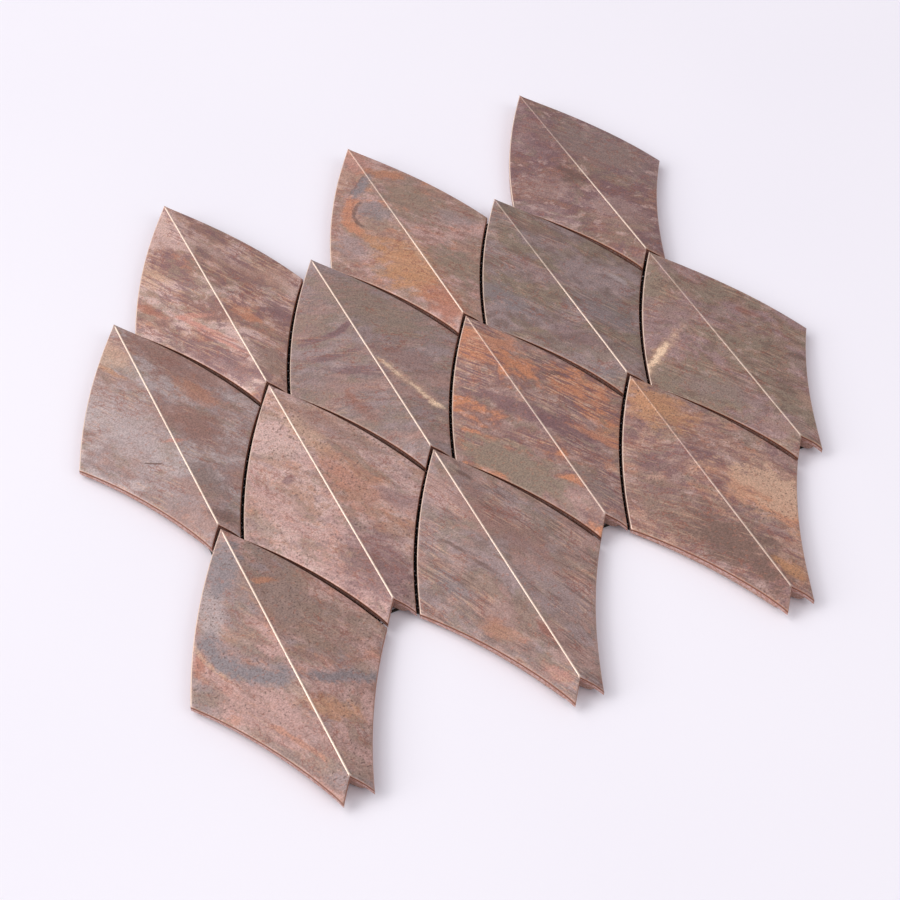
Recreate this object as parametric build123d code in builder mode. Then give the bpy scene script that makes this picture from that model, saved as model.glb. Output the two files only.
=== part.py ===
from build123d import *
import os

# One sheet of leaf-shaped copper mosaic, lying on its back with the ridges along Y.
# Every chip is a folded copper plate with a turned-down rim, capping a backing body. A net on the back
# holds the chips in step.

# Pattern of the sheet: upright columns of chips, every second column one row lower.
column_pitch = 45.0
row_pitch = 60.2
column_count = 6
chips_in_column = 2
joint = 1.2

# Outline of a chip's cell, measured from its apex, with the joints closed.
notch_half_width = 6.0
notch_depth = 7.5

# Height of the level ridge above the floor, and the twisted facets that fall from it. The reaches are
# how far from the ridge a facet has fallen by the drop, at the apex, abreast of the corner and at the tips.
ridge_height = 8.0
facet_drop = 3.0
apex_reach = 11.5
corner_reach = 46.0
tip_reach = 4.5
corner_pull = 2.0

# Thickness of the copper, the depth of its rim, and the body that fits inside the rim.
plate_thickness = 0.8
rim_depth = 2.5
body_clearance = 0.1
body_corner_radius = 3.0

# Net on the back: two layers of strands that cross.
strand_pitch = 10.0
strand_width = 1.5
strand_thickness = 0.3
net_margin = 3.0

# Corners of the cell. The neighbouring cells share them, so they follow from the pattern.
apex = Vector(0, 0)
shoulder = Vector(notch_half_width, -notch_depth)
corner = Vector(column_pitch - notch_half_width, -row_pitch - notch_depth)
notch = Vector(0, -2 * row_pitch)
tip = notch + shoulder

# The cell: a convex upper edge, repeated as the concave edges that the next chips nest in.
with BuildSketch() as cell:
    with BuildLine():
        upper_edge = ThreePointArc(apex, shoulder, corner)
        RadiusArc(corner, tip, -upper_edge.radius)
        RadiusArc(notch, tip, upper_edge.radius)
        mirror(about=Plane.YZ)
    make_face()

with BuildSketch() as plate_outline:
    add(cell.sketch)
    offset(amount=-joint / 2, kind=Kind.INTERSECTION)

with BuildSketch() as rim_hollow:
    add(plate_outline.sketch)
    offset(amount=-plate_thickness, kind=Kind.INTERSECTION)

# The body clears the inside of the rim, and its corners are rounded.
with BuildSketch() as body_outline:
    add(plate_outline.sketch)
    offset(amount=-plate_thickness - body_clearance - body_corner_radius, kind=Kind.INTERSECTION)
    offset(amount=body_corner_radius, kind=Kind.ARC)

# One facet: ruled from the ridge to a level curve that lies beyond the rim of the chip.
overrun = 1.3
curve_height = ridge_height - overrun * facet_drop
with BuildLine() as ridge:
    Line((apex.X, apex.Y, ridge_height), (notch.X, tip.Y, ridge_height))
with BuildLine() as level_curve:
    Bezier(
        (overrun * apex_reach, apex.Y, curve_height),
        (overrun * corner_reach, corner.Y, curve_height),
        (overrun * tip_reach, tip.Y, curve_height),
        weights=[1, corner_pull, 1],
    )
facet = Face.make_surface_from_curves(ridge.edge(), level_curve.edge())
downward = (0, 0, -1)

with BuildPart() as folded_slab:
    extrude(facet, amount=rim_depth, dir=downward)
    mirror(about=Plane.YZ)

with BuildPart() as room_under_sheet:
    extrude(facet.moved(Location((0, 0, -plate_thickness))), amount=2 * ridge_height, dir=downward)
    mirror(about=Plane.YZ)

with BuildPart() as hollow_blank:
    add(rim_hollow.sketch)
    extrude(amount=ridge_height)
    add(room_under_sheet.part, mode=Mode.INTERSECT)

with BuildPart() as plate_blank:
    add(plate_outline.sketch)
    extrude(amount=ridge_height)
    add(folded_slab.part, mode=Mode.INTERSECT)
    add(hollow_blank.part, mode=Mode.SUBTRACT)

net_thickness = 2 * strand_thickness
with BuildPart() as body_blank:
    with BuildSketch(Plane.XY.offset(net_thickness)):
        add(body_outline.sketch)
    extrude(amount=ridge_height)
    add(room_under_sheet.part, mode=Mode.INTERSECT)

# Places of the chips' apexes, about the middle of the sheet.
chip_bounds = plate_outline.sketch.bounding_box()
row_steps = 2 * chips_in_column - 1
first_apex_y = (row_steps * row_pitch - chip_bounds.max.Y - chip_bounds.min.Y) / 2
first_column_x = -(column_count - 1) / 2 * column_pitch
chip_places = []
for column in range(column_count):
    for chip in range(chips_in_column):
        row = 2 * chip + (column + 1) % 2
        chip_places.append((first_column_x + column * column_pitch, first_apex_y - row * row_pitch))

os.makedirs("parts", exist_ok=True)

for number, place in enumerate(chip_places, start=1):
    with BuildPart() as copper_plate:
        with Locations(place):
            add(plate_blank.part)
    copper_plate.part.label = f"copper_plate_{number:02d}"
    export_step(copper_plate.part, f"parts/{copper_plate.part.label}.step")

    with BuildPart() as backing_body:
        with Locations(place):
            add(body_blank.part)
    backing_body.part.label = f"backing_body_{number:02d}"
    export_step(backing_body.part, f"parts/{backing_body.part.label}.step")

# The net is trimmed to the outline of all the cells together, less a margin.
with BuildSketch() as net_outline:
    with Locations(*chip_places):
        add(cell.sketch)
    offset(amount=-net_margin, kind=Kind.ARC)
net_bounds = net_outline.sketch.bounding_box()
warp_count = int(net_bounds.size.X // strand_pitch)
weft_count = int(net_bounds.size.Y // strand_pitch)

with BuildPart() as net_warp:
    with BuildSketch():
        with GridLocations(strand_pitch, 1, warp_count, 1):
            Rectangle(strand_width, net_bounds.size.Y)
        add(net_outline.sketch, mode=Mode.INTERSECT)
    extrude(amount=strand_thickness)
net_warp.part.label = "net_warp"
export_step(net_warp.part, "parts/net_warp.step")

with BuildPart() as net_weft:
    with BuildSketch(Plane.XY.offset(strand_thickness)):
        with GridLocations(1, strand_pitch, 1, weft_count):
            Rectangle(net_bounds.size.X, strand_width)
        add(net_outline.sketch, mode=Mode.INTERSECT)
    extrude(amount=strand_thickness)
net_weft.part.label = "net_weft"
export_step(net_weft.part, "parts/net_weft.step")
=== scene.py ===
import math
from collections import namedtuple

import bmesh
import bpy
from mathutils import Matrix, Vector, noise


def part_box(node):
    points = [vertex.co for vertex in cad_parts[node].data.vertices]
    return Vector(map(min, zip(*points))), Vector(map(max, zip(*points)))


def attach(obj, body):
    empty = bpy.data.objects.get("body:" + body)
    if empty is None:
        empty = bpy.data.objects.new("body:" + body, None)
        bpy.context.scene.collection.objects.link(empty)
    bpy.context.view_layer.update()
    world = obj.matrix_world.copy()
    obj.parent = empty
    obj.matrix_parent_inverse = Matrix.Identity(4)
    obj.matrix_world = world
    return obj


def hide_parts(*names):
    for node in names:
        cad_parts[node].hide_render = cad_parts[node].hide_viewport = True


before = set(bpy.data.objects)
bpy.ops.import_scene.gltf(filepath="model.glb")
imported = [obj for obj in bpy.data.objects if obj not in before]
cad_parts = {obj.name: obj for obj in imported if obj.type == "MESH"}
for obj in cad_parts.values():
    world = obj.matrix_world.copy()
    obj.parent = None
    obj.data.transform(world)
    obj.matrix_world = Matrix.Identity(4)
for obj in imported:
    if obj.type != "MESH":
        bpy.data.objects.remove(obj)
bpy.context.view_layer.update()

# Sizes of a chip, in metres: the pattern of the sheet, the outline and the folded facets.
mm = 0.001
column_pitch = 45.0 * mm
row_pitch = 60.2 * mm
joint = 1.2 * mm
notch_half_width = 6.0 * mm
notch_depth = 7.5 * mm
ridge_height = 8.0 * mm
facet_drop = 3.0 * mm
apex_reach = 11.5 * mm
corner_reach = 46.0 * mm
tip_reach = 4.5 * mm
corner_pull = 2.0
curve_overrun = 1.3
plate_thickness = 0.8 * mm
rim_depth = 2.5 * mm

# Fine relief of the copper: the bead along the ridge, the rounded rim and the slow waves of the sheet.
crest_half_width = 0.42 * mm
crest_height = 0.2 * mm
rim_radius = 0.55 * mm
wave_height = 0.06 * mm
wave_length = 22.0 * mm

# Edges that turn by more than this many degrees stay sharp, and points closer than this are joined.
chip_sharp_angle = 50
plain_sharp_angle = 30
merge_distance = 0.002 * mm

# Grain of the backing bodies.
wall_step = 0.5 * mm
wall_rows = 9
grain_height = 0.22 * mm
grain_size = 0.85 * mm

# Fine yarns of the net, between its strands: dark and laid close, they fill the joints with painted shade.
strand_pitch = 10.0 * mm
yarns_per_strand = 5
yarn_width = 1.2 * mm
net_margin = 7.0 * mm
touch = 0.05 * mm

# Corners of the cell, from its apex.
shoulder = Vector((notch_half_width, -notch_depth))
corner = Vector((column_pitch - notch_half_width, -row_pitch - notch_depth))
tip_y = -2 * row_pitch - notch_depth


def root(miss, low, high):
    """Where a rising or falling function passes through zero between two values."""
    rising = miss(high) > miss(low)
    for _ in range(40):
        middle = (low + high) / 2
        if (miss(middle) > 0) == rising:
            high = middle
        else:
            low = middle
    return (low + high) / 2


def circle_through_apex(a, b):
    """Centre and radius of the circle through the apex and two other points."""
    twice_area = 2 * (a.x * b.y - a.y * b.x)
    centre = Vector((
        (b.y * a.length_squared - a.y * b.length_squared) / twice_area,
        (a.x * b.length_squared - b.x * a.length_squared) / twice_area,
    ))
    return centre, centre.length


arc_centre, arc_radius = circle_through_apex(shoulder, corner)


class Outline:
    """Right half of a chip's edge, drawn in from the cell by half a joint and an inset."""

    def __init__(self, inset):
        self.gap = joint / 2 + inset
        self.apex_y = arc_centre.y + math.sqrt((arc_radius - self.gap) ** 2 - arc_centre.x ** 2)
        notch_centre_y = arc_centre.y - 2 * row_pitch
        self.notch_y = notch_centre_y + math.sqrt((arc_radius + self.gap) ** 2 - arc_centre.x ** 2)
        self.corner_y = root(lambda y: self.upper(y) - self.lower(y), -row_pitch / 2, tip_y + notch_depth)
        self.tip_y = root(lambda y: self.lower(y) - self.notch(y), self.notch_y, tip_y - notch_depth)

    def upper(self, y):
        return arc_centre.x + math.sqrt((arc_radius - self.gap) ** 2 - (y - arc_centre.y) ** 2)

    def lower(self, y):
        rise = y - arc_centre.y + row_pitch
        return column_pitch - arc_centre.x - math.sqrt((arc_radius + self.gap) ** 2 - rise ** 2)

    def notch(self, y):
        rise = y - arc_centre.y + 2 * row_pitch
        return arc_centre.x + math.sqrt((arc_radius + self.gap) ** 2 - rise ** 2)

    def rows(self, counts):
        """Edges of the half chip at steps from the apex to the tip, as (y, inner x, outer x)."""
        marks = (self.apex_y, self.corner_y, self.notch_y, self.tip_y)
        heights = [marks[0]]
        for start, end, count in zip(marks, marks[1:], counts):
            heights += [start + (end - start) * step / count for step in range(1, count + 1)]
        rows = []
        for number, y in enumerate(heights):
            outer = self.upper(y) if number < counts[0] else self.lower(y)
            inner = self.notch(y) if number > counts[0] + counts[1] else 0.0
            rows.append((y, inner, max(outer, inner)))
        return rows


def level_curve(share):
    """Reach of a facet from the ridge at a share of its length, and the y of that place."""
    weights = ((1 - share) ** 2, 2 * share * (1 - share) * corner_pull, share ** 2)
    total = sum(weights)
    reach = (weights[0] * apex_reach + weights[1] * corner_reach + weights[2] * tip_reach) / total
    return reach, (weights[1] * corner.y + weights[2] * tip_y) / total


def facet_height(x, y):
    """Height of the folded sheet's top over a place in a chip."""
    def miss(share):
        reach, curve_y = level_curve(share)
        along = abs(x) / (curve_overrun * reach)
        return (1 - along) * share * tip_y + along * curve_y - y
    reach, _ = level_curve(root(miss, 0.0, 1.0))
    return ridge_height - crest_height - facet_drop * abs(x) / reach


def crest_lift(x):
    share = min(abs(x) / crest_half_width, 1.0)
    return crest_height * math.sqrt(1 - share * share)


def add_face(mesh, corners):
    """Adds a face where its corners span one."""
    distinct = list(dict.fromkeys(corners))
    if len(distinct) > 2:
        mesh.faces.new(distinct)


def clean(mesh):
    """Joins double points, removes faces without area and turns the faces outward."""
    bmesh.ops.remove_doubles(mesh, verts=mesh.verts, dist=merge_distance)
    bmesh.ops.dissolve_degenerate(mesh, dist=merge_distance, edges=mesh.edges)
    bmesh.ops.recalc_face_normals(mesh, faces=mesh.faces)


def rim_profile():
    """Steps of the rim from the top edge, round and down, under, and up inside, as (inset, drop)."""
    round_steps = 3
    profile = []
    for step in range(1, round_steps + 1):
        angle = math.pi / 2 * step / round_steps
        profile.append((rim_radius * (1 - math.sin(angle)), rim_radius * (1 - math.cos(angle))))
    profile += [(0.0, rim_depth), (plate_thickness, rim_depth), (plate_thickness, plate_thickness)]
    return profile


def make_plate_mesh():
    """One folded copper plate, with a bead along its ridge, a turned-down rim and marks for both."""
    counts = (44, 36, 10)
    crest_columns = [crest_half_width * share for share in (0.0, 0.4, 0.75, 1.0, 1.3)]
    facet_columns = 26
    mesh = bmesh.new()
    crest_mark = mesh.verts.layers.float.new("crest")
    rim_mark = mesh.verts.layers.float.new("rim")

    def add_vertex(x, y, drop, crest=0.0):
        vertex = mesh.verts.new((x, y, facet_height(x, y) + crest_lift(x) - drop))
        vertex[crest_mark] = crest
        vertex[rim_mark] = drop / mm
        return vertex

    # Top of the right half, row by row from the ridge or the notch to the rim.
    grid = []
    last_ridge_row = counts[0] + counts[1]
    for number, (y, inner, outer) in enumerate(Outline(rim_radius).rows(counts)):
        width = outer - inner
        squeeze = min(1.0, width / (3 * crest_columns[-1]))
        start = crest_columns[-1] * squeeze
        offsets = [offset * squeeze for offset in crest_columns]
        offsets += [start + (width - start) * step / facet_columns for step in range(1, facet_columns + 1)]
        row = []
        for column, offset in enumerate(offsets):
            on_crest = column < 3 and number <= last_ridge_row
            row.append(add_vertex(inner + offset, y, 0.0, crest=1.0 if on_crest else 0.0))
        grid.append(row)
    for row, below in zip(grid, grid[1:]):
        for column in range(len(row) - 1):
            add_face(mesh, (row[column], below[column], below[column + 1], row[column + 1]))

    # The rim, ring by ring, along the outer edge and along the notch.
    outer_edge = [row[-1] for row in grid]
    notch_edge = [row[0] for row in grid[last_ridge_row:]]
    for inset, drop in rim_profile():
        rows = Outline(inset).rows(counts)
        next_outer = [add_vertex(outer, y, drop) for y, inner, outer in rows]
        next_notch = [add_vertex(inner, y, drop) for y, inner, outer in rows[last_ridge_row:]]
        for edge, next_edge in ((outer_edge, next_outer), (notch_edge, next_notch)):
            for one, two, three, four in zip(edge, next_edge, next_edge[1:], edge[1:]):
                add_face(mesh, (one, two, three, four))
        outer_edge = next_outer
        notch_edge = next_notch

    # Underside, straight across from the rim to the fold.
    fold_rows = Outline(plate_thickness).rows(counts)[:last_ridge_row]
    inner_edge = [add_vertex(0.0, y, plate_thickness) for y, _, _ in fold_rows] + notch_edge
    for one, two, three, four in zip(outer_edge, inner_edge, inner_edge[1:], outer_edge[1:]):
        add_face(mesh, (one, two, three, four))

    # The left half mirrors the right one.
    half = mesh.verts[:] + mesh.edges[:] + mesh.faces[:]
    copied = bmesh.ops.duplicate(mesh, geom=half)["geom"]
    left = [item for item in copied if isinstance(item, bmesh.types.BMVert)]
    for vertex in left:
        vertex.co.x = -vertex.co.x
    clean(mesh)
    return mesh


def make_object(name, mesh, material, place, smooth_angle):
    """A mesh object at a place, shaded smooth but for its sharp edges."""
    data = bpy.data.meshes.new(name)
    mesh.to_mesh(data)
    data.shade_smooth()
    data.set_sharp_from_angle(angle=math.radians(smooth_angle))
    data.materials.append(material)
    made = bpy.data.objects.new(name, data)
    made.location = place
    bpy.context.scene.collection.objects.link(made)
    return made


def wave(mesh, seed):
    """Gives the sheet the slow waves of hand-worked copper."""
    shift = Vector((seed * 0.37, seed * -0.53, seed * 0.11))
    for vertex in mesh.verts:
        vertex.co.z += wave_height * noise.noise(Vector(vertex.co) / wave_length + shift)


def chip_place(number):
    """Apex of a chip's cell on the floor, read from its plate in the frame."""
    low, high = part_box(f"copper_plate_{number:02d}")
    return Vector(((low.x + high.x) / 2, high.y - Outline(0.0).apex_y, 0.0))


# Short hand for building the nodes of a material.
class Shader:
    def __init__(self, name):
        self.material = bpy.data.materials.new(name)
        self.material.use_nodes = True
        self.tree = self.material.node_tree
        self.tree.nodes.clear()

    def node(self, kind, inputs=None, **settings):
        made = self.tree.nodes.new(kind)
        for setting, value in settings.items():
            setattr(made, setting, value)
        for socket, value in (inputs or {}).items():
            if isinstance(value, bpy.types.NodeSocket):
                self.tree.links.new(value, made.inputs[socket])
            else:
                made.inputs[socket].default_value = value
        return made

    def math(self, operation, one, two=0.0):
        return self.node("ShaderNodeMath", {0: one, 1: two}, operation=operation).outputs[0]

    def vector(self, operation, one, two):
        return self.node("ShaderNodeVectorMath", {0: one, 1: two}, operation=operation).outputs[0]

    def length(self, vector):
        return self.node("ShaderNodeVectorMath", {0: vector}, operation="LENGTH").outputs["Value"]

    def noise(self, vector, detail=3.0, roughness=0.55):
        inputs = {"Vector": vector, "Scale": 1.0, "Detail": detail, "Roughness": roughness}
        return self.node("ShaderNodeTexNoise", inputs).outputs["Fac"]

    def step(self, value, low, high, bottom=0.0, top=1.0):
        """A soft step from bottom to top as the value goes from low to high."""
        made = self.node(
            "ShaderNodeMapRange",
            {"Value": value, "From Min": low, "From Max": high, "To Min": bottom, "To Max": top},
            interpolation_type="SMOOTHSTEP",
        )
        return made.outputs["Result"]

    def band(self, value, low, high, soft):
        """One between low and high, and zero outside."""
        return self.math("MULTIPLY", self.step(value, low - soft, low), self.step(value, high + soft, high))

    def blend(self, share, one, two):
        return self.node("ShaderNodeMix", {0: share, 6: one, 7: two}, data_type="RGBA").outputs[2]

    def scale(self, vector, factor):
        return self.node("ShaderNodeVectorMath", {0: vector, "Scale": factor}, operation="SCALE").outputs[0]

    def ramp(self, value, colours, low, high):
        made = self.node("ShaderNodeValToRGB", {"Fac": value})
        elements = made.color_ramp.elements
        while len(elements) < len(colours):
            elements.new(1.0)
        for number, colour in enumerate(colours):
            elements[number].position = low + (high - low) * number / (len(colours) - 1)
            elements[number].color = colour
        return made.outputs["Color"]

    def finish(self, **inputs):
        sockets = {key.replace("_", " "): value for key, value in inputs.items()}
        surface = self.node("ShaderNodeBsdfPrincipled", sockets)
        self.node("ShaderNodeOutputMaterial", {"Surface": surface.outputs["BSDF"]})
        return self.material


def colour(red, green, blue):
    """A colour written as it shows on screen, 0 to 255 for each part."""
    def linear(part):
        share = part / 255
        return share / 12.92 if share <= 0.04045 else ((share + 0.055) / 1.055) ** 2.4
    return (linear(red), linear(green), linear(blue), 1.0)


# Tones of the patina.
pearl = colour(206, 174, 166)
rose = colour(194, 156, 148)
sand = colour(206, 168, 144)
tan = colour(184, 146, 130)
fawn = colour(168, 136, 128)
mauve = colour(160, 130, 128)
dove = colour(184, 166, 164)
smoke = colour(162, 140, 138)
slate = colour(142, 130, 132)
sage = colour(148, 126, 120)
olive = colour(152, 124, 110)
moss = colour(149, 129, 113)
chestnut = colour(152, 114, 104)
umber = colour(112, 84, 76)
plum = colour(132, 98, 100)
brick = colour(146, 90, 76)
rust = colour(176, 112, 88)
coral = colour(204, 144, 128)
orange = colour(202, 136, 102)
ochre = colour(194, 141, 102)
# Painted reflection: gold is the colour of the glints of reflected light painted on chips 5 and 12.
painted_glint = colour(250, 216, 184)
# Bare copper, also the colour of the painted highlight on the crest and on the upper left edges.
bare_copper_and_highlight = colour(242, 219, 202)
bright_copper = colour(186, 138, 122)
# Copper of the cut edge, darkened as painted shade where it faces into the joints.
shaded_side_copper = colour(152, 84, 50)

# A patch is an ellipse of another tone, an arc is a band of it along a circle. Places and sizes are in
# millimetres from the apex of the chip, turns in degrees. A stain of the cover strength or more lies over
# the streaks.
# Some patches are painted reflections, not stains: the glints of light on chips 5 and 12, each a pale glow
# with a bright core.
Patch = namedtuple("Patch", "tone x y long short turn strength")
Arc = namedtuple("Arc", "tone x y radius width middle spread strength")
cover_strength = 0.9
# A chip's crest gives the strength of bare metal and painted highlight on its crest, at the top and at the
# bottom.
Chip = namedtuple("Chip", "tones turn streak level streaks blotches blooms specks crest stains")

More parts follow.
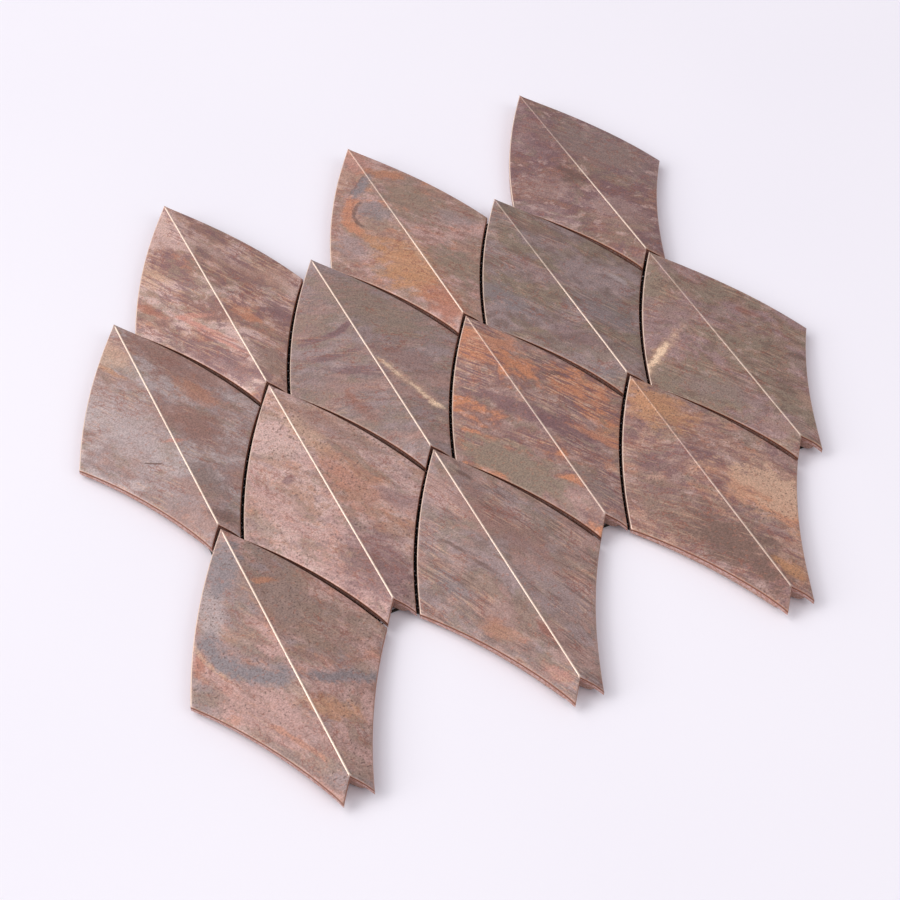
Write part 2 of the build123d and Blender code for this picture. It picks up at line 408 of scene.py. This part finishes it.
chips = {
    1: Chip((dove, smoke, fawn), -58, chestnut, 0.92, 0.45, 0.3, 0.2, 0.3, (1.0, 1.0), (
        Patch(sand, -7, -16, 14, 6, -65, 0.6),
        Patch(ochre, -9, -27, 9, 1.2, -60, 0.6),
        # The pale grey over the left facet is partly the chip's tone and partly a painted sheen, where the
        # left facets catch the lamps.
        Patch(dove, -15, -58, 34, 13, -75, 0.75),
        Patch(smoke, -12, -98, 16, 7, -65, 0.6),
        Patch(chestnut, 15, -34, 24, 9, -64, 0.75),
        Patch(orange, 17, -50, 12, 5, -62, 0.35),
        Patch(chestnut, 12, -72, 20, 8, -62, 0.75),
        Patch(sage, 5, -97, 12, 5, -70, 0.8),
        Patch(umber, 3, -115, 6, 3, -50, 0.6),
        Patch(coral, -1, -72, 5, 1.0, -20, 0.7),
        Patch(umber, -11, -79.5, 4.8, 0.4, -32, 0.9),
    )),
    2: Chip((rose, fawn, smoke), -62, chestnut, 0.92, 0.3, 0.5, 0.4, 0.7, (0.9, 1.0), (
        Patch(slate, -6, -17, 13, 5.5, 62, 0.9),
        Patch(dove, -17, -34, 13, 5, 65, 0.8),
        Patch(olive, 12, -48, 28, 11, -68, 0.7),
        Patch(orange, 5, -30, 4, 1.5, -20, 0.6),
        Patch(rose, -12, -88, 22, 8, -55, 0.7),
        Patch(ochre, 6, -92, 12, 5, -40, 0.6),
        Patch(rust, -28, -52, 6, 2.5, 60, 0.7),
        Patch(brick, -25, -56, 3, 1.2, 50, 0.8),
        Arc(sand, 6, -44, 34, 1.0, 195, 24, 0.7),
        Arc(slate, 6, -44, 30, 4.0, 216, 46, 1.0),
        Patch(slate, 13, -80, 16, 2.8, -25, 0.9),
        Patch(sage, -14, -104, 18, 2.0, -62, 0.7),
        Patch(orange, -11, -97, 14, 1.2, -62, 0.5),
    )),
    3: Chip((pearl, tan, chestnut), -60, plum, 1.01, 0.6, 0.65, 0.4, 0.3, (1.0, 1.0), (
        Patch(pearl, -5, -18, 18, 9, -62, 0.7),
        Patch(sand, -22, -40, 10, 6, -60, 0.7),
        Patch(rust, -28, -58, 8, 2.5, -50, 0.6),
        Patch(plum, -13, -98, 22, 7, -62, 0.7),
        Patch(coral, -12, -78, 16, 1.3, -58, 0.8),
        Patch(coral, -6, -92, 14, 1.1, -60, 0.8),
        Patch(coral, -14, -70, 9, 1.5, -25, 0.7),
        Patch(tan, 27, -62, 12, 6, -60, 0.6),
        Patch(chestnut, 14, -50, 20, 5, -62, 0.5),
        Patch(plum, 21, -84, 12, 4.5, -62, 0.8),
        Patch(orange, 8, -80, 8, 3, -60, 0.6),
        Patch(olive, 7, -108, 14, 6, -70, 0.8),
    )),
    4: Chip((rose, pearl, tan), -55, mauve, 0.95, 0.2, 0.5, 0.3, 0.6, (1.0, 1.0), (
        Patch(pearl, -10, -28, 18, 9, -58, 0.6),
        Patch(sand, 4, -32, 14, 5, -75, 0.7),
        Patch(fawn, 14, -34, 20, 5, -60, 0.6),
        Patch(orange, 9, -64, 22, 9, -80, 0.4),
        Patch(plum, -12.5, -50, 2.6, 2.2, 0, 0.7),
        Patch(mauve, 23, -76, 8, 4, -60, 0.7),
        Patch(rose, -22, -58, 14, 7, -60, 0.6),
        Patch(plum, 1, -104, 20, 13, 90, 0.7),
    )),
    5: Chip((smoke, sage, fawn), -30, mauve, 0.9, 0.3, 0.35, 0.1, 0.3, (0.9, 0.9), (
        Patch(moss, 14, -42, 26, 11, -65, 0.7),
        Patch(chestnut, 12, -72, 16, 6, -55, 0.5),
        Arc(plum, -12, -20, 26, 1.8, 270, 32, 0.85),
        Patch(rust, -16, -86, 9, 1.6, -80, 0.6),
        Patch(smoke, -10, -52, 13, 2, -8, 0.6),
        Patch(plum, -14, -57, 16, 1.8, -10, 0.7),
        Patch(plum, -8, -70, 12, 2.4, -35, 0.7),
        Patch(chestnut, -16, -88, 9, 3, -70, 0.8),
        # Painted reflection: a curved glint of reflected light, a pale glow with a bright core along it.
        Patch(sand, 7, -83, 20, 2.4, -71, 0.5),
        Patch(painted_glint, 3.4, -73, 11, 0.9, -73, 0.6),
        Patch(painted_glint, 9.5, -91, 9, 1.1, -72, 0.75),
        Patch(painted_glint, 12.6, -100, 3.6, 1.2, -55, 0.75),
    )),
    6: Chip((smoke, sage, fawn), -66, umber, 1.0, 0.55, 0.35, 0.2, 0.3, (0.8, 0.9), (
        Patch(rose, -7, -22, 16, 6, -65, 0.6),
        Patch(slate, -22, -62, 10, 4, -65, 0.7),
        Patch(chestnut, 8, -45, 28, 8, -70, 0.6),
        Patch(smoke, 14, -84, 18, 7, -62, 0.7),
        Patch(orange, -16, -88, 12, 3.5, -50, 0.4),
        Patch(umber, 5, -17, 5, 1, -60, 0.7),
        Patch(umber, -14, -46, 8, 0.9, -62, 0.7),
        Patch(umber, -7, -62, 10, 0.9, -65, 0.6),
        Patch(brick, -1.5, -96, 5, 1.4, -80, 0.7),
        Patch(coral, -6, -114, 6, 3, -60, 0.5),
    )),
    7: Chip((tan, fawn, rose), -50, chestnut, 0.96, 0.3, 0.6, 0.55, 0.4, (0.4, 0.9), (
        Patch(coral, 0, -10, 12, 6, 90, 0.5),
        Patch(moss, 14, -48, 20, 10, -60, 0.7),
        Patch(orange, 9, -24, 12, 3.5, -30, 0.6),
        Patch(smoke, 23, -62, 10, 5, -50, 0.7),
        Patch(smoke, -25, -60, 10, 5, -70, 0.8),
        Patch(slate, -7, -44, 9, 6, -70, 0.7),
        Arc(orange, -6, -46, 13.5, 2.8, 165, 65, 0.8),
        Patch(ochre, -15, -63, 9, 2, -70, 0.6),
        Patch(slate, -5, -27, 9, 2.4, 40, 0.9),
        Patch(ochre, -8, -84, 20, 12, -80, 0.85),
        Patch(moss, 12, -92, 18, 8, -65, 0.85),
        Arc(umber, -6, -46, 10.5, 0.9, 160, 60, 0.7),
        Patch(umber, -6, -25, 8, 0.8, 38, 0.7),
        Patch(rust, -4, -110, 14, 7, -80, 0.7),
        Patch(sand, 0, -74, 10, 2.5, 90, 0.5),
    )),
    8: Chip((orange, chestnut, fawn), -57, plum, 0.94, 0.9, 0.5, 0.45, 0.4, (0.4, 0.6), (
        Patch(orange, 0, -20, 15, 10, -60, 0.7),
        Patch(moss, -20, -82, 26, 9, -63, 0.95),
        Patch(plum, -4, -58, 24, 4, -58, 0.75),
        Patch(plum, 8, -74, 18, 5, -55, 0.8),
        Patch(orange, 24, -58, 12, 5, -40, 0.8),
        Patch(orange, 8, -41, 5, 2, -70, 0.9),
        Patch(umber, 18, -45, 6, 1.6, -25, 0.8),
        Patch(orange, 19, -84, 14, 2.5, -55, 0.7),
        Patch(rose, -7, -106, 8, 4, -60, 0.6),
        Patch(sage, 4, -106, 12, 4, -65, 0.8),
    )),
    9: Chip((moss, sage, smoke), -60, umber, 0.84, 0.4, 0.4, 0.1, 0.3, (0.2, 0.9), (
        Patch(mauve, -4, -50, 18, 3, -62, 0.6),
        Patch(chestnut, 6, -24, 16, 4, -60, 0.4),
        Patch(slate, -24, -56, 16, 6, -64, 0.7),
        Patch(slate, 10, -84, 16, 8, -60, 0.5),
        Patch(dove, 26, -69, 6, 1.4, -60, 0.8),
        Patch(plum, -8, -92, 14, 6, -60, 0.4),
        Patch(slate, -8, -114, 6, 3, -60, 0.6),
    )),
    10: Chip((fawn, chestnut, tan), -50, plum, 1.0, 0.4, 0.6, 0.4, 0.7, (0.15, 0.5), (
        Patch(ochre, 2, -20, 18, 10, -70, 0.75),
        Patch(olive, -13, -80, 36, 11, -66, 0.85),
        Patch(umber, -7, -94, 28, 10, -72, 0.65),
        Patch(plum, 4, -50, 14, 4, -55, 0.6),
        Patch(plum, -14, -46, 10, 4, -40, 0.5),
        Patch(sand, 20, -81, 26, 11, -62, 0.95),
        Patch(orange, 18, -84, 24, 7, -64, 0.9),
        Patch(sand, 21, -80, 22, 9, -62, 0.9),
        Patch(ochre, 5, -112, 8, 3, -65, 0.8),
    )),
    11: Chip((mauve, plum, chestnut), -50, plum, 0.9, 0.2, 0.65, 0.1, 0.2, (0.15, 0.8), (
        Patch(plum, -6, -32, 22, 11, -65, 0.5),
        Patch(sage, 17, -52, 26, 12, -60, 0.75),
        Patch(fawn, -22, -62, 14, 8, -40, 0.7),
        Patch(umber, -5, -62, 9, 4, -70, 0.8),
        Patch(fawn, 2, -94, 16, 9, -60, 0.6),
    )),
    12: Chip((moss, olive, mauve), -58, umber, 0.94, 0.4, 0.45, 0.15, 0.5, (0.2, 0.5), (
        Patch(mauve, -10, -36, 16, 5, -55, 0.6),
        Patch(sage, -16, -82, 20, 7, -55, 0.6),
        Patch(brick, 20, -50, 6, 1.8, -50, 0.6),
        Patch(umber, 24, -80, 5, 2, -40, 0.6),
        Patch(umber, 10, -96, 6, 3, -60, 0.5),
        Patch(fawn, -4, -112, 8, 4, -60, 0.6),
        Patch(umber, 13, -75, 3, 1.5, -60, 0.7),
        Patch(tan, 16, -106, 10, 4, -62, 0.6),
        # Painted reflection: a glint of reflected light, a pale glow with a bright core.
        Patch(sand, -25, -53.5, 15, 3.4, 29, 0.6),
        Patch(painted_glint, -27, -54.5, 10, 1.9, 29, 0.9),
    )),
}


def scaled(shader, vector, along, across):
    """Stretches noise so that its grains have these sizes in millimetres."""
    return shader.vector("MULTIPLY", vector, (1 / along, 1 / across, 1 / across))


def about(shader, plan, x, y, turn, size):
    """The plan seen from a place, turned and divided by a size."""
    inputs = {
        "Vector": plan,
        "Location": (x, y, 0.0),
        "Rotation": (0.0, 0.0, math.radians(turn)),
        "Scale": (size[0], size[1], 1.0),
    }
    return shader.node("ShaderNodeMapping", inputs, vector_type="TEXTURE").outputs[0]


def stain_share(shader, plan, ragged, stain):
    """How much a stain covers, from nothing to its strength, with ragged edges."""
    if isinstance(stain, Patch):
        local = about(shader, plan, stain.x, stain.y, stain.turn, (stain.long, stain.short))
        distance = shader.length(local)
        ends = None
    else:
        local = about(shader, plan, stain.x, stain.y, stain.middle, (1.0, 1.0))
        off_circle = shader.math("ABSOLUTE", shader.math("SUBTRACT", shader.length(local), stain.radius))
        distance = shader.math("DIVIDE", off_circle, stain.width)
        parts = shader.node("ShaderNodeSeparateXYZ", {0: local}).outputs
        turned = shader.math("ABSOLUTE", shader.math("ARCTAN2", parts["Y"], parts["X"]))
        half = math.radians(stain.spread)
        ends = shader.step(turned, half, 0.7 * half)
    share = shader.step(shader.math("ADD", distance, ragged), 1.3, 0.5, top=stain.strength)
    return share if ends is None else shader.math("MULTIPLY", share, ends)


def patina(name, seed, chip):
    """Aged copper under lacquer: clouds, stains and painted glints, streaks, veins, specks, a crest of bare
    metal with a painted highlight, and a rim with painted shade and a painted highlight on its upper left.
    """
    shader = Shader(name)
    local = shader.node("ShaderNodeTexCoord").outputs["Object"]
    plan = shader.vector("MULTIPLY", local, (1 / mm, 1 / mm, 0.0))
    shifted = shader.vector("ADD", plan, (seed * 71.0, seed * -43.0, seed * 17.0))

    # Bend the plan a little, and turn it along the streaks.
    bend_inputs = {"Vector": scaled(shader, shifted, 30.0, 30.0), "Scale": 1.0, "Detail": 1.0}
    bend = shader.node("ShaderNodeTexNoise", bend_inputs).outputs["Color"]
    bend = shader.vector("SUBTRACT", bend, (0.5, 0.5, 0.5))
    turn = (0.0, 0.0, math.radians(-chip.turn))
    bent = shader.vector("ADD", shifted, shader.vector("MULTIPLY", bend, (12.0, 12.0, 0.0)))
    flow = shader.node("ShaderNodeMapping", {"Vector": bent, "Rotation": turn}).outputs[0]
    eased = shader.vector("ADD", shifted, shader.vector("MULTIPLY", bend, (3.0, 3.0, 0.0)))
    straight = shader.node("ShaderNodeMapping", {"Vector": eased, "Rotation": turn}).outputs[0]

    # Clouds of the chip's tones, blooms of rust, green tarnish, and dark and pale blotches with hard edges.
    clouds = shader.noise(scaled(shader, flow, 26.0, 13.0), detail=10.0, roughness=0.6)
    shade = shader.ramp(clouds, chip.tones, 0.44, 0.56)
    bloom = shader.noise(scaled(shader, flow, 12.0, 7.0), detail=9.0, roughness=0.66)
    shade = shader.blend(shader.step(bloom, 0.53, 0.63, top=chip.blooms), shade, orange)
    tarnish = shader.noise(scaled(shader, flow, 16.0, 8.0), detail=9.0, roughness=0.64)
    shade = shader.blend(shader.step(tarnish, 0.5, 0.58, top=0.55), shade, moss)
    blotch = shader.noise(scaled(shader, flow, 6.5, 4.0), detail=9.0, roughness=0.66)
    shade = shader.blend(shader.step(blotch, 0.53, 0.58, top=chip.blotches), shade, chip.streak)
    shade = shader.blend(shader.step(blotch, 0.45, 0.39, top=0.85 * chip.blotches), shade, pearl)

    # Stains in their own places, with painted glints of reflected light among them. The weaker ones lie under
    # the streaks, the stronger ones over them.
    ragged = shader.noise(scaled(shader, flow, 7.0, 3.6), detail=10.0, roughness=0.7)
    ragged = shader.math("MULTIPLY", shader.math("SUBTRACT", ragged, 0.5), 3.4)

    def stained(under, stains):
        for stain in stains:
            under = shader.blend(stain_share(shader, plan, ragged, stain), under, stain.tone)
        return under

    shade = stained(shade, [stain for stain in chip.stains if stain.strength < cover_strength])

    # Scratchy streaks and veins, where the sheet has them.
    where = shader.noise(scaled(shader, flow, 22.0, 12.0), detail=2.0)
    streaks = shader.noise(scaled(shader, straight, 14.0, 0.9), detail=5.0, roughness=0.62)
    dark_places = shader.step(where, 0.44, 0.56, top=chip.streaks)
    dark = shader.math("MULTIPLY", shader.step(streaks, 0.53, 0.58), dark_places)
    shade = shader.blend(dark, shade, chip.streak)
    pale_places = shader.step(where, 0.46, 0.56, top=chip.streaks)
    pale = shader.math("MULTIPLY", shader.step(streaks, 0.45, 0.39), pale_places)
    shade = shader.blend(pale, shade, sand)
    wander = shader.noise(scaled(shader, flow, 9.0, 5.0), detail=7.0, roughness=0.6)
    vein = shader.step(shader.math("ABSOLUTE", shader.math("SUBTRACT", wander, 0.5)), 0.02, 0.008)
    vein = shader.math("MULTIPLY", vein, shader.step(where, 0.5, 0.58, top=0.6))
    shade = shader.blend(vein, shade, brick)
    shade = stained(shade, [stain for stain in chip.stains if stain.strength >= cover_strength])

    # Dark specks, rusty flecks and a fine grain.
    speck = shader.noise(scaled(shader, shifted, 0.9, 0.9), detail=0.0)
    speck_places = shader.step(where, 0.64, 0.44, top=chip.specks)
    speck = shader.math("MULTIPLY", shader.step(speck, 0.66, 0.74), speck_places)
    shade = shader.blend(speck, shade, umber)
    fleck = shader.noise(scaled(shader, shifted, 1.7, 1.7), detail=3.0)
    shade = shader.blend(shader.step(fleck, 0.58, 0.66, top=0.35), shade, rust)
    grain = shader.noise(scaled(shader, shifted, 0.6, 0.6), detail=1.0)
    grain_level = shader.step(grain, 0.28, 0.72, bottom=0.8 * chip.level, top=1.2 * chip.level)
    shade = shader.scale(shade, grain_level)

    # Bare metal and a painted highlight along the crest, duller towards one end, its strength set chip by
    # chip.
    crest = shader.node("ShaderNodeAttribute", attribute_name="crest").outputs["Fac"]
    plan_parts = shader.node("ShaderNodeSeparateXYZ", {0: plan}).outputs
    height = plan_parts["Y"]
    top_wear_and_highlight, bottom_wear_and_highlight = chip.crest
    crest_wear_and_highlight = shader.step(height, -30.0, -80.0, bottom=top_wear_and_highlight, top=bottom_wear_and_highlight)
    patchy = shader.step(shader.noise(scaled(shader, shifted, 2.5, 2.5)), 0.25, 0.5, bottom=0.7)
    crest_wear_and_highlight = shader.math("MULTIPLY", shader.math("MULTIPLY", crest_wear_and_highlight, patchy), crest)
    shade = shader.blend(crest_wear_and_highlight, shade, bare_copper_and_highlight)

    # Down the rim: copper darkened as painted shade, a dark line of painted shade under the rounded edge, and
    # a dotted band of bare copper. The edge shows faint wear all round and a painted highlight along the upper
    # left.
    rim = shader.node("ShaderNodeAttribute", attribute_name="rim").outputs["Fac"]
    place = shader.vector("MULTIPLY", local, (1 / mm, 1 / mm, 1 / mm))
    dots = shader.noise(shader.vector("MULTIPLY", place, (0.9, 0.9, 1.3)), detail=1.0)
    side_shade = shader.ramp(dots, (bright_copper, pearl), 0.46, 0.54)
    side_shade = shader.blend(shader.step(rim, 1.1, 0.9), side_shade, shaded_side_copper)
    # Painted shade: a dark line just under the rounded edge.
    side_shade = shader.blend(shader.band(rim, 0.6, 0.9, 0.1), side_shade, umber)
    side = shader.step(rim, 0.1, 0.3)
    shade = shader.blend(side, shade, side_shade)
    # Painted highlight: the edge is lighter along the upper left, which faces the lamps, and only faintly worn
    # elsewhere.
    left_half = shader.step(plan_parts["X"], 0.5, -0.5)
    lit_upper_left = shader.math("MULTIPLY", shader.step(height, -69.0, -66.0), left_half)
    edge_wear_and_highlight = shader.step(lit_upper_left, 0.0, 1.0, bottom=0.12, top=0.85)
    edge = shader.math("MULTIPLY", shader.band(rim, 0.06, 0.42, 0.05), edge_wear_and_highlight)
    shade = shader.blend(edge, shade, bare_copper_and_highlight)

    gloss = shader.step(clouds, 0.3, 0.7, bottom=0.44, top=0.54)
    gloss = shader.math("ADD", gloss, shader.math("MULTIPLY", grain, 0.06))
    relief = shader.math("ADD", shader.math("MULTIPLY", grain, 0.4), streaks)
    bump = shader.node("ShaderNodeBump", {"Strength": 0.1, "Distance": 0.1 * mm, "Height": relief}).outputs[0]
    bare = shader.math("MAXIMUM", shader.math("MAXIMUM", crest_wear_and_highlight, edge), side)
    return shader.finish(
        Base_Color=shade,
        Metallic=shader.step(bare, 0.0, 1.0, bottom=0.35, top=0.75),
        Roughness=gloss,
        Coat_Weight=0.2,
        Coat_Roughness=0.3,
        Normal=bump,
    )


def backing_material():
    """Grainy brown core of a chip."""
    shader = Shader("backing")
    local = shader.node("ShaderNodeTexCoord").outputs["Object"]
    place = shader.vector("MULTIPLY", local, (1 / mm, 1 / mm, 1 / mm))
    grain = shader.noise(shader.vector("MULTIPLY", place, (1.1, 1.1, 1.1)), detail=4.0, roughness=0.7)
    shade = shader.ramp(grain, (chestnut, tan, pearl), 0.35, 0.65)
    clouds = shader.noise(shader.vector("MULTIPLY", place, (0.1, 0.1, 0.1)))
    shade = shader.blend(shader.step(clouds, 0.35, 0.65, top=0.5), shade, fawn)
    bump = shader.node("ShaderNodeBump", {"Strength": 0.4, "Distance": 0.15 * mm, "Height": grain}).outputs[0]
    return shader.finish(Base_Color=shade, Roughness=0.75, Normal=bump)


def net_shade_material():
    """Twisted yarn of the net, made dark as painted shade for the joints above it."""
    shader = Shader("net")
    local = shader.node("ShaderNodeTexCoord").outputs["Object"]
    place = shader.vector("MULTIPLY", local, (1 / mm, 1 / mm, 1 / mm))
    twist = shader.node("ShaderNodeTexWave", {"Vector": place, "Scale": 0.9, "Distortion": 1.5, "Detail": 2.0})
    shade = shader.ramp(twist.outputs["Fac"], (colour(30, 26, 24), colour(52, 46, 42)), 0.2, 0.8)
    return shader.finish(Base_Color=shade, Roughness=0.85)


def half_loop(number):
    """Bottom edge of a backing body from its top end round to its notch, right half, from the chip's apex."""
    node = f"backing_body_{number:02d}"
    low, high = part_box(node)
    place = chip_place(number)
    middle = Vector(((low.x + high.x) / 2, (low.y + high.y) / 2, 0.0)) - place
    spots = set()
    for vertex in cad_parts[node].data.vertices:
        if vertex.co.z < low.z + 0.01 * mm:
            spot = vertex.co - place
            spots.add((round(spot.x, 7), round(spot.y, 7)))
    right = [Vector(spot) for spot in spots if spot[0] > -0.001 * mm]
    right.sort(key=lambda spot: math.atan2(spot.x - middle.x, spot.y - middle.y))
    right[0].x = 0.0
    right[-1].x = 0.0
    return right, low.z


def resample(points, spacing):
    """Evenly spaced points along a line of points."""
    lengths = [(two - one).length for one, two in zip(points, points[1:])]
    count = max(2, round(sum(lengths) / spacing))
    target = sum(lengths) / count
    result = [points[0].copy()]
    walked = 0.0
    wanted = target
    for one, two, length in zip(points, points[1:], lengths):
        while length > 0 and wanted <= walked + length + 1e-12 and len(result) < count:
            result.append(one.lerp(two, (wanted - walked) / length))
            wanted += target
        walked += length
    result.append(points[-1].copy())
    return result


def make_body_mesh(loop, bottom, seed):
    """Backing body with a grainy wall, from its half loop."""
    mesh = bmesh.new()
    points = resample(loop, wall_step)
    mirrored = [Vector((-point.x, point.y)) for point in points[-2:0:-1]]
    ring_points = points + mirrored
    total = len(ring_points)
    tops = [facet_height(point.x, point.y) - plate_thickness for point in ring_points]
    shift = Vector((seed * 3.1, seed * -7.7, seed * 1.9))
    rings = []
    for row in range(wall_rows + 1):
        ring = []
        for number, point in enumerate(ring_points):
            before = ring_points[number - 1]
            after = ring_points[(number + 1) % total]
            along = (after - before).normalized()
            outward = Vector((-along.y, along.x))
            height = bottom + (tops[number] - bottom) * row / wall_rows
            spot = Vector((point.x, point.y, height))
            grain = noise.noise(spot / grain_size + shift) if 0 < row < wall_rows else 0.0
            push = outward * grain_height * grain
            ring.append(mesh.verts.new((spot.x + push.x, spot.y + push.y, height)))
        rings.append(ring)
    for ring, above in zip(rings, rings[1:]):
        for number in range(total):
            following = (number + 1) % total
            mesh.faces.new((ring[following], ring[number], above[number], above[following]))
    mesh.faces.new(rings[0])

    # Top, from the wall to a line under the ridge.
    spine = []
    for vertex in rings[-1]:
        y = min(max(vertex.co.y, points[-1].y), points[0].y)
        spine.append(mesh.verts.new((0.0, y, facet_height(0.0, y) - plate_thickness)))
    for number in range(total):
        following = (number + 1) % total
        add_face(mesh, (rings[-1][following], rings[-1][number], spine[number], spine[following]))
    clean(mesh)
    return mesh


def make_chips():
    backing = backing_material()
    loop, bottom = half_loop(1)
    blank = make_plate_mesh()
    for number, chip in chips.items():
        place = chip_place(number)
        plate_mesh = blank.copy()
        wave(plate_mesh, number)
        copper = patina(f"patina_{number:02d}", number, chip)
        plate = make_object(f"patina_plate_{number:02d}", plate_mesh, copper, place, chip_sharp_angle)
        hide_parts(f"copper_plate_{number:02d}")
        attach(plate, "root")

        body_mesh = make_body_mesh(loop, bottom, number)
        body = make_object(f"grainy_body_{number:02d}", body_mesh, backing, place, chip_sharp_angle)
        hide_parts(f"backing_body_{number:02d}")
        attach(body, "root")


def chip_spans_along(outline, x):
    """Lowest and highest y of a chip at an x from its ridge."""
    reach = abs(x)
    if reach >= outline.upper(outline.corner_y):
        return []
    top = root(lambda y: outline.upper(y) - reach, outline.corner_y, outline.apex_y)
    if reach < outline.notch(outline.tip_y):
        bottom = root(lambda y: outline.notch(y) - reach, outline.tip_y, outline.notch_y)
    else:
        bottom = root(lambda y: outline.lower(y) - reach, outline.tip_y, outline.corner_y)
    return [(bottom, top)]


def chip_spans_across(outline, y):
    """Lowest and highest x of a chip, or of its two tips, at a y from its apex."""
    if not outline.tip_y < y < outline.apex_y:
        return []
    outer = outline.upper(y) if y > outline.corner_y else outline.lower(y)
    if y > outline.notch_y:
        return [(-outer, outer)]
    inner = outline.notch(y)
    return [(-outer, -inner), (inner, outer)]


def join_spans(spans):
    """Joins spans that touch, and draws their ends in by the margin of the net."""
    joined = []
    for low, high in sorted(spans):
        if joined and low <= joined[-1][1] + touch:
            joined[-1][1] = max(joined[-1][1], high)
        else:
            joined.append([low, high])
    return [(low + net_margin, high - net_margin) for low, high in joined if high - low > 2.5 * net_margin]


def make_shade_yarns(name, node, axis, material):
    """Flat dark yarns in one layer of the net, side by side between the strands of its node, as painted shade
    under the joints.
    """
    low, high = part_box(node)
    cell = Outline(-joint / 2)
    places = [chip_place(number) for number in chips]
    side_axis = 1 - axis
    spacing = strand_pitch / yarns_per_strand
    reach = round(max(-low[side_axis], high[side_axis]) / spacing)
    profile = ((-0.5, 0.5), (-0.3, 0.0), (0.3, 0.0), (0.5, 0.5), (0.3, 1.0), (-0.3, 1.0))
    mesh = bmesh.new()
    for number in range(-reach, reach + 1):
        if number % yarns_per_strand == 0:
            continue
        side = number * spacing
        spans = []
        for place in places:
            find = chip_spans_along if axis == 1 else chip_spans_across
            spans += [(place[axis] + a, place[axis] + b) for a, b in find(cell, side - place[side_axis])]
        for span in join_spans(spans):
            rings = []
            for along in span:
                ring = []
                for across, rise in profile:
                    spot = [0.0, 0.0, low.z + rise * (high.z - low.z)]
                    spot[axis] = along
                    spot[side_axis] = side + across * yarn_width
                    ring.append(mesh.verts.new(spot))
                rings.append(ring)
                mesh.faces.new(ring)
            for corner_number in range(len(profile)):
                following = (corner_number + 1) % len(profile)
                one, two = rings
                mesh.faces.new((one[corner_number], one[following], two[following], two[corner_number]))
    bmesh.ops.recalc_face_normals(mesh, faces=mesh.faces)
    yarns = make_object(name, mesh, material, (0.0, 0.0, 0.0), plain_sharp_angle)
    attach(yarns, "root")


# The net and its fine yarns are dark, so that the joints above them show painted shade.
def dress_net():
    material = net_shade_material()
    for node, yarns, axis in (("net_warp", "fine_warp_shade", 1), ("net_weft", "fine_weft_shade", 0)):
        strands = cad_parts[node]
        strands.data.materials.clear()
        strands.data.materials.append(material)
        make_shade_yarns(yarns, node, axis, material)


# Floor, camera and light, in metres and watts.
floor_half_size = 4.0
camera_place = Vector((-221.06, -424.11, 531.01)) * mm
camera_aim = Vector((-13.78, -24.99, 0.0)) * mm
camera_roll = math.radians(1.08)
camera_lens = 69.49
Lamp = namedtuple("Lamp", "name place size power")
lamps = (
    Lamp("side", (-3.5, 1.0, 2.0), 2.6, 88.0),
    Lamp("back", (-1.8, 2.6, 3.6), 3.2, 76.0),
    Lamp("front", (1.8, -2.3, 2.4), 2.4, 29.0),
)
lamp_tint = colour(255, 253, 252)
fill_tint = colour(251, 249, 255)
fill_strength = 0.505
backdrop_tint = colour(247, 245, 251)


def make_floor():
    shader = Shader("floor")
    local = shader.node("ShaderNodeTexCoord").outputs["Object"]
    clouds = shader.noise(shader.vector("MULTIPLY", local, (3.0, 3.0, 3.0)), detail=2.0)
    shade = shader.ramp(clouds, (colour(241, 238, 246), colour(245, 242, 249)), 0.3, 0.7)
    material = shader.finish(Base_Color=shade, Roughness=0.6)
    mesh = bmesh.new()
    bmesh.ops.create_grid(mesh, x_segments=1, y_segments=1, size=floor_half_size)
    floor = make_object("floor", mesh, material, (0.0, 0.0, 0.0), plain_sharp_angle)


def add_light(lamp):
    """A square lamp aimed at the middle of the sheet."""
    data = bpy.data.lights.new(lamp.name, "AREA")
    data.size = lamp.size
    data.energy = lamp.power
    data.color = lamp_tint[:3]
    made = bpy.data.objects.new(lamp.name, data)
    made.location = lamp.place
    made.rotation_euler = (-Vector(lamp.place)).to_track_quat("-Z", "Y").to_euler()
    bpy.context.scene.collection.objects.link(made)


def make_world():
    world = bpy.data.worlds.new("studio")
    bpy.context.scene.world = world
    world.use_nodes = True
    tree = world.node_tree
    tree.nodes.clear()
    path = tree.nodes.new("ShaderNodeLightPath")
    fill = tree.nodes.new("ShaderNodeBackground")
    fill.inputs["Color"].default_value = fill_tint
    fill.inputs["Strength"].default_value = fill_strength
    backdrop = tree.nodes.new("ShaderNodeBackground")
    backdrop.inputs["Color"].default_value = backdrop_tint
    mixed = tree.nodes.new("ShaderNodeMixShader")
    output = tree.nodes.new("ShaderNodeOutputWorld")
    tree.links.new(path.outputs["Is Camera Ray"], mixed.inputs[0])
    tree.links.new(fill.outputs[0], mixed.inputs[1])
    tree.links.new(backdrop.outputs[0], mixed.inputs[2])
    tree.links.new(mixed.outputs[0], output.inputs["Surface"])


def make_camera():
    data = bpy.data.cameras.new("camera")
    data.lens = camera_lens
    camera = bpy.data.objects.new("camera", data)
    turn = (camera_aim - camera_place).to_track_quat("-Z", "Y").to_matrix().to_4x4()
    camera.matrix_world = Matrix.Translation(camera_place) @ turn @ Matrix.Rotation(camera_roll, 4, "Z")
    bpy.context.scene.collection.objects.link(camera)
    bpy.context.scene.camera = camera


make_chips()
dress_net()
make_floor()
make_world()
for lamp in lamps:
    add_light(lamp)
make_camera()
bpy.context.scene.view_settings.view_transform = "Standard"

bpy.context.view_layer.update()
